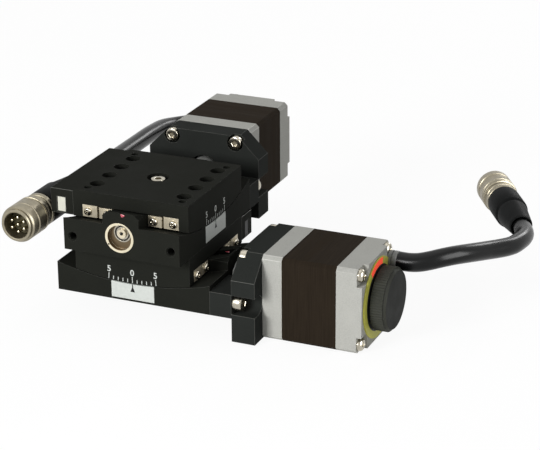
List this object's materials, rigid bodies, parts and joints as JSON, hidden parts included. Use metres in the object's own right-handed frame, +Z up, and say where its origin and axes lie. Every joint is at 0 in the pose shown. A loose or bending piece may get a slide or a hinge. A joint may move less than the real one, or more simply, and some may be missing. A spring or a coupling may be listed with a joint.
{
  "type": "motorised two-axis tilt stage",
  "caption": "Stacked pair of arc-guided goniometer stages tilting about one point above the table, each with a worm drive, stepper motor, hand knob, corded plug and angle scale.",
  "frame": {"origin": "centre of the lower base's mounting face", "axes": "+Z up through the table, +X along the lower worm towards the lower motor, +Y along the upper worm towards the upper motor"},
  "size_m": [0.1505, 0.1321, 0.0473],
  "materials": {
    "black_anodised": "satin black anodised, fine bead blast",
    "cast_aluminium": "die-cast, grainy",
    "laminations": "stacked laminations, dark",
    "rail_steel": "ground",
    "screw_steel": "nickel plated",
    "gold_bush": "turned, matt",
    "gear_brass": "hobbed",
    "cage_brass": "stamped strip",
    "contact_brass": "gold flashed",
    "nickel": "nickel plated",
    "white_plate": "satin white with black mark",
    "dial_print": "printed olive yellow with a red sector",
    "gland_grey": "moulded",
    "cord_black": "smooth glossy jacket",
    "black_plastic": "moulded",
    "white_plastic": "moulded",
    "knob_grey": "moulded, straight knurl"
  },
  "bodies": {
    "lower_frame": {"lower_base": "black_anodised", "lower_inner_rails": "rail_steel", "lower_motor_bracket": "black_anodised", "lower_motor_flange": "cast_aluminium", "lower_motor_stator": "laminations", "lower_motor_rear_cap": "cast_aluminium", "lower_bearing_bush": "gold_bush", "lower_bearing_outer_rings": "rail_steel", "lower_pointer_plate": "white_plate", "lower_frame_screws": "screw_steel", "lower_dial_plate": "dial_print", "lower_cord_gland": "gland_grey", "lower_cord": "cord_black", "lower_plug_backshell": "black_plastic", "lower_plug_shell": "nickel", "lower_plug_contacts": "contact_brass"},
    "middle_stage": {"lower_table": "black_anodised", "lower_outer_rails": "rail_steel", "lower_worm_sector": "gear_brass", "lower_table_screws": "screw_steel", "lower_sensor_cover": "black_anodised", "lower_limit_sensors": "white_plastic", "upper_base": "black_anodised", "upper_inner_rails": "rail_steel", "upper_motor_bracket": "black_anodised", "upper_motor_flange": "cast_aluminium", "upper_motor_stator": "laminations", "upper_motor_rear_cap": "cast_aluminium", "upper_bearing_bush": "gold_bush", "upper_bearing_outer_rings": "rail_steel", "upper_pointer_plate": "white_plate", "upper_frame_screws": "screw_steel", "upper_dial_plate": "dial_print", "upper_cord_gland": "gland_grey", "upper_cord": "cord_black", "upper_plug_backshell": "black_plastic", "upper_plug_shell": "nickel", "upper_plug_contacts": "contact_brass"},
    "top_stage": {"upper_table": "black_anodised", "upper_outer_rails": "rail_steel", "upper_worm_sector": "gear_brass", "upper_table_screws": "screw_steel", "upper_sensor_cover": "black_anodised", "upper_limit_sensors": "white_plastic"},
    "lower_drive": {"lower_worm_shaft": "rail_steel", "lower_bearing_inner_rings": "rail_steel", "lower_shaft_coupling": "cast_aluminium", "lower_motor_rotor": "rail_steel", "lower_knob": "knob_grey"},
    "upper_drive": {"upper_worm_shaft": "rail_steel", "upper_bearing_inner_rings": "rail_steel", "upper_shaft_coupling": "cast_aluminium", "upper_motor_rotor": "rail_steel", "upper_knob": "knob_grey"},
    "lower_cages": {"lower_roller_cages": "cage_brass", "lower_rollers": "rail_steel"},
    "upper_cages": {"upper_roller_cages": "cage_brass", "upper_rollers": "rail_steel"},
    "lower_plug_coupling": {"lower_plug_ring": "nickel"},
    "upper_plug_coupling": {"upper_plug_ring": "nickel"}
  },
  "joints": [
    {"name": "lower_knob_turn", "type": "hinge", "parent": "lower_frame", "child": "lower_drive", "pos_m": [0, 0, 0.0062], "axis": [1, 0, 0], "range_deg": [-1855, 1855]},
    {"name": "lower_tilt", "type": "hinge", "parent": "lower_frame", "child": "middle_stage", "pos_m": [0, 0, 0.1022], "axis": [0, -1, 0], "range_deg": [-5, 5]},
    {"name": "lower_cage_roll", "type": "hinge", "parent": "lower_frame", "child": "lower_cages", "pos_m": [0, 0, 0.1022], "axis": [0, -1, 0], "range_deg": [-2.5, 2.5]},
    {"name": "upper_knob_turn", "type": "hinge", "parent": "middle_stage", "child": "upper_drive", "pos_m": [0, 0, 0.02545], "axis": [0, 1, 0], "range_deg": [-1470, 1470]},
    {"name": "upper_tilt", "type": "hinge", "parent": "middle_stage", "child": "top_stage", "pos_m": [0, 0, 0.1022], "axis": [1, 0, 0], "range_deg": [-5, 5]},
    {"name": "upper_cage_roll", "type": "hinge", "parent": "middle_stage", "child": "upper_cages", "pos_m": [0, 0, 0.1022], "axis": [1, 0, 0], "range_deg": [-2.5, 2.5]},
    {"name": "lower_plug_ring_turn", "type": "hinge", "parent": "lower_frame", "child": "lower_plug_coupling", "pos_m": [0.1032, 0.0592, 0.012], "axis": [-0.521, 0.8536, 0], "continuous": true},
    {"name": "upper_plug_ring_turn", "type": "hinge", "parent": "middle_stage", "child": "upper_plug_coupling", "pos_m": [-0.0341, 0.007, 0.02505], "axis": [0, -1, 0], "continuous": true}
  ],
  "couplings": [
    {"joint": "lower_tilt", "follows": "lower_knob_turn", "ratio": -0.0026954},
    {"joint": "lower_cage_roll", "follows": "lower_knob_turn", "ratio": -0.0013477},
    {"joint": "upper_tilt", "follows": "upper_knob_turn", "ratio": -0.0034014},
    {"joint": "upper_cage_roll", "follows": "upper_knob_turn", "ratio": -0.0017007}
  ]
}
